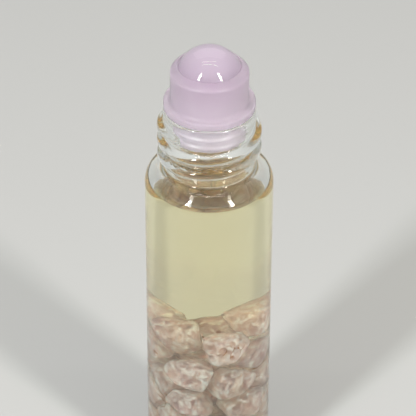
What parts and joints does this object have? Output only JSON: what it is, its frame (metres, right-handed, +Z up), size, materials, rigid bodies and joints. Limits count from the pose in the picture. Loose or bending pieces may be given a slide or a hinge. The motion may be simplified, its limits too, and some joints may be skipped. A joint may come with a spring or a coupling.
{
  "type": "roll on bottle",
  "caption": "Clear glass roll on bottle with a threaded neck, a pull-out plastic roller housing, a free rolling ball, pale oil and loose quartz chips.",
  "frame": {"origin": "middle of the base, on the plane that the bottle stands on", "axes": "+Z up along the bottle's axis towards the ball; +X to the right and +Y away from the picture's camera"},
  "size_m": [0.02, 0.02, 0.0824],
  "materials": {
    "clear_glass": "clear, fire polished",
    "housing_plastic": "natural translucent moulding, satin",
    "ball_plastic": "milky, polished",
    "oil": "clear pale yellow liquid",
    "quartz": "tumbled, translucent, milky inclusions"
  },
  "bodies": {
    "bottle": {"glass_bottle": "clear_glass", "oil": "oil", "quartz_chip_01": "quartz", "quartz_chip_02": "quartz", "quartz_chip_03": "quartz", "quartz_chip_04": "quartz", "quartz_chip_05": "quartz", "quartz_chip_06": "quartz", "quartz_chip_07": "quartz", "quartz_chip_08": "quartz", "quartz_chip_09": "quartz", "quartz_chip_10": "quartz", "quartz_chip_11": "quartz", "quartz_chip_12": "quartz", "quartz_chip_13": "quartz", "quartz_chip_14": "quartz", "quartz_chip_15": "quartz", "quartz_chip_16": "quartz", "quartz_chip_17": "quartz", "quartz_chip_18": "quartz", "quartz_chip_19": "quartz", "quartz_chip_20": "quartz", "quartz_chip_21": "quartz", "quartz_chip_22": "quartz", "quartz_chip_23": "quartz", "quartz_chip_24": "quartz", "quartz_chip_25": "quartz", "quartz_chip_26": "quartz", "quartz_chip_27": "quartz", "quartz_chip_28": "quartz", "quartz_chip_29": "quartz", "quartz_chip_30": "quartz", "quartz_chip_31": "quartz", "quartz_chip_32": "quartz", "quartz_chip_33": "quartz", "quartz_chip_34": "quartz", "quartz_chip_35": "quartz", "quartz_chip_36": "quartz", "quartz_chip_37": "quartz", "quartz_chip_38": "quartz", "quartz_chip_39": "quartz", "quartz_chip_40": "quartz", "quartz_chip_41": "quartz", "quartz_chip_42": "quartz"},
    "fitment": {"roller_housing": "housing_plastic"},
    "ball": {"roller_ball": "ball_plastic"}
  },
  "joints": [
    {"name": "housing_pull", "type": "slide", "parent": "bottle", "child": "fitment", "axis": [0, 0, 1], "range_m": [0, 0.012]},
    {"name": "ball_roll", "type": "hinge", "parent": "fitment", "child": "ball", "pos_m": [0, 0, 0.07715], "axis": [1, 0, 0], "continuous": true}
  ]
}
